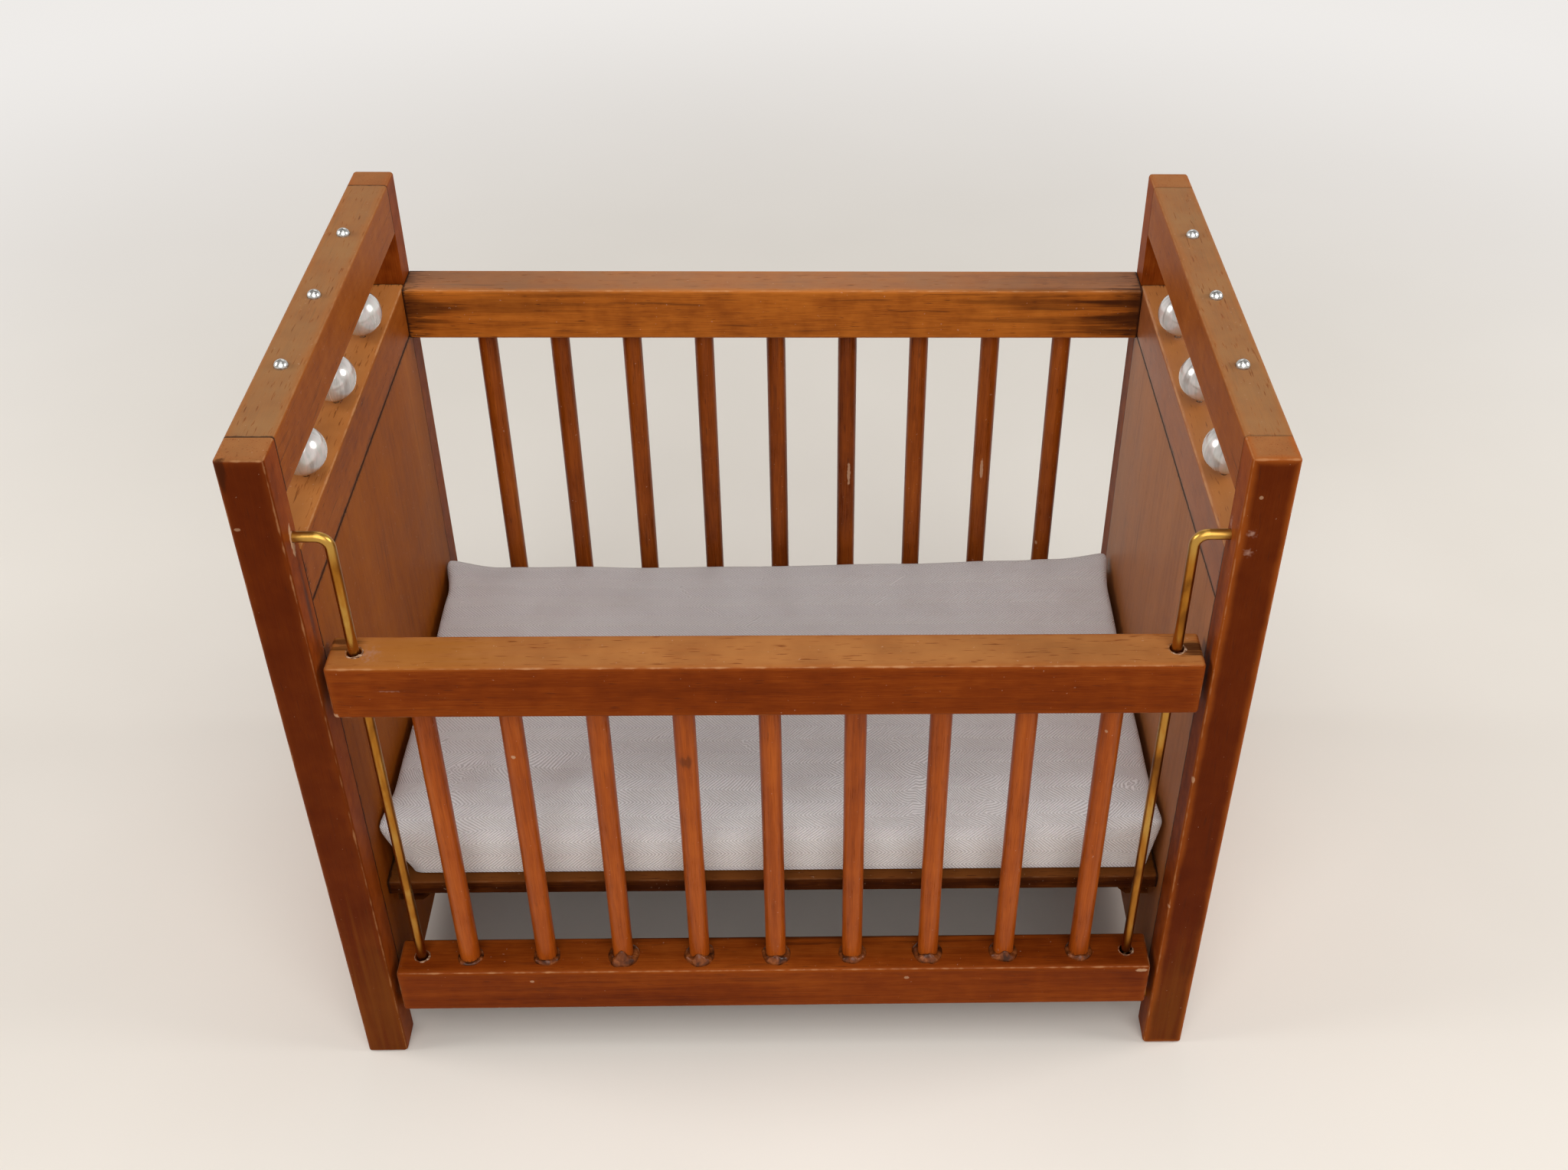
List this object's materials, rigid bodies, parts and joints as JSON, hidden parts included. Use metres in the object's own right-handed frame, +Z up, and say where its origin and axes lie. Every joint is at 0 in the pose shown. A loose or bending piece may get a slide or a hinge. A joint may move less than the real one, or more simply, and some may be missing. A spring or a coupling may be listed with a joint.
{
  "type": "miniature baby crib",
  "caption": "Miniature drop-side crib: panelled end frames with beads on pins, slatted back, slatted gate sliding on bent wire rods, and a wrapped mattress on a platform.",
  "frame": {"origin": "on the floor under the middle of the crib", "axes": "+X along the crib's length to the right as seen from the gate, +Y from the gate to the fixed back, +Z up"},
  "size_m": [0.1176, 0.072, 0.1029],
  "materials": {
    "frame_wood": "walnut stain under satin varnish",
    "dowel_wood": "walnut stain under satin varnish",
    "platform_wood": "walnut stain, thinly varnished",
    "brass_rod": "bright drawn wire, slightly tarnished",
    "steel_pin": "bright domed head",
    "pearl_bead": "iridescent pearl",
    "mattress_cover": "white herringbone twill"
  },
  "bodies": {
    "crib": {"back_bottom_rail": "frame_wood", "back_dowel_1": "dowel_wood", "back_dowel_2": "dowel_wood", "back_dowel_3": "dowel_wood", "back_dowel_4": "dowel_wood", "back_dowel_5": "dowel_wood", "back_dowel_6": "dowel_wood", "back_dowel_7": "dowel_wood", "back_dowel_8": "dowel_wood", "back_dowel_9": "dowel_wood", "back_top_rail": "frame_wood", "left_back_post": "frame_wood", "left_bead_pin_1": "steel_pin", "left_bead_pin_2": "steel_pin", "left_bead_pin_3": "steel_pin", "left_end_panel": "frame_wood", "left_front_post": "frame_wood", "left_gate_rod": "brass_rod", "left_middle_rail": "frame_wood", "left_platform_cleat": "platform_wood", "left_top_bar": "frame_wood", "platform_board": "platform_wood", "right_back_post": "frame_wood", "right_bead_pin_1": "steel_pin", "right_bead_pin_2": "steel_pin", "right_bead_pin_3": "steel_pin", "right_end_panel": "frame_wood", "right_front_post": "frame_wood", "right_gate_rod": "brass_rod", "right_middle_rail": "frame_wood", "right_platform_cleat": "platform_wood", "right_top_bar": "frame_wood"},
    "gate": {"gate_bottom_rail": "frame_wood", "gate_dowel_1": "dowel_wood", "gate_dowel_2": "dowel_wood", "gate_dowel_3": "dowel_wood", "gate_dowel_4": "dowel_wood", "gate_dowel_5": "dowel_wood", "gate_dowel_6": "dowel_wood", "gate_dowel_7": "dowel_wood", "gate_dowel_8": "dowel_wood", "gate_dowel_9": "dowel_wood", "gate_top_rail": "frame_wood"},
    "mattress": {"mattress": "mattress_cover"},
    "left_bead_1": {"left_bead_1": "pearl_bead"},
    "left_bead_2": {"left_bead_2": "pearl_bead"},
    "left_bead_3": {"left_bead_3": "pearl_bead"},
    "right_bead_1": {"right_bead_1": "pearl_bead"},
    "right_bead_2": {"right_bead_2": "pearl_bead"},
    "right_bead_3": {"right_bead_3": "pearl_bead"}
  },
  "joints": [
    {"name": "gate_slide", "type": "slide", "parent": "crib", "child": "gate", "axis": [0, 0, 1], "range_m": [0, 0.0144]},
    {"name": "mattress_lift", "type": "slide", "parent": "crib", "child": "mattress", "axis": [0, 0, 1], "range_m": [0, 0.08]},
    {"name": "left_bead_1_spin", "type": "hinge", "parent": "crib", "child": "left_bead_1", "pos_m": [-0.05575, -0.0166, 0.09045], "axis": [0, 0, 1], "continuous": true},
    {"name": "left_bead_2_spin", "type": "hinge", "parent": "crib", "child": "left_bead_2", "pos_m": [-0.05575, 0, 0.09045], "axis": [0, 0, 1], "continuous": true},
    {"name": "left_bead_3_spin", "type": "hinge", "parent": "crib", "child": "left_bead_3", "pos_m": [-0.05575, 0.0166, 0.09045], "axis": [0, 0, 1], "continuous": true},
    {"name": "right_bead_1_spin", "type": "hinge", "parent": "crib", "child": "right_bead_1", "pos_m": [0.05575, -0.0166, 0.09045], "axis": [0, 0, 1], "continuous": true},
    {"name": "right_bead_2_spin", "type": "hinge", "parent": "crib", "child": "right_bead_2", "pos_m": [0.05575, 0, 0.09045], "axis": [0, 0, 1], "continuous": true},
    {"name": "right_bead_3_spin", "type": "hinge", "parent": "crib", "child": "right_bead_3", "pos_m": [0.05575, 0.0166, 0.09045], "axis": [0, 0, 1], "continuous": true}
  ]
}
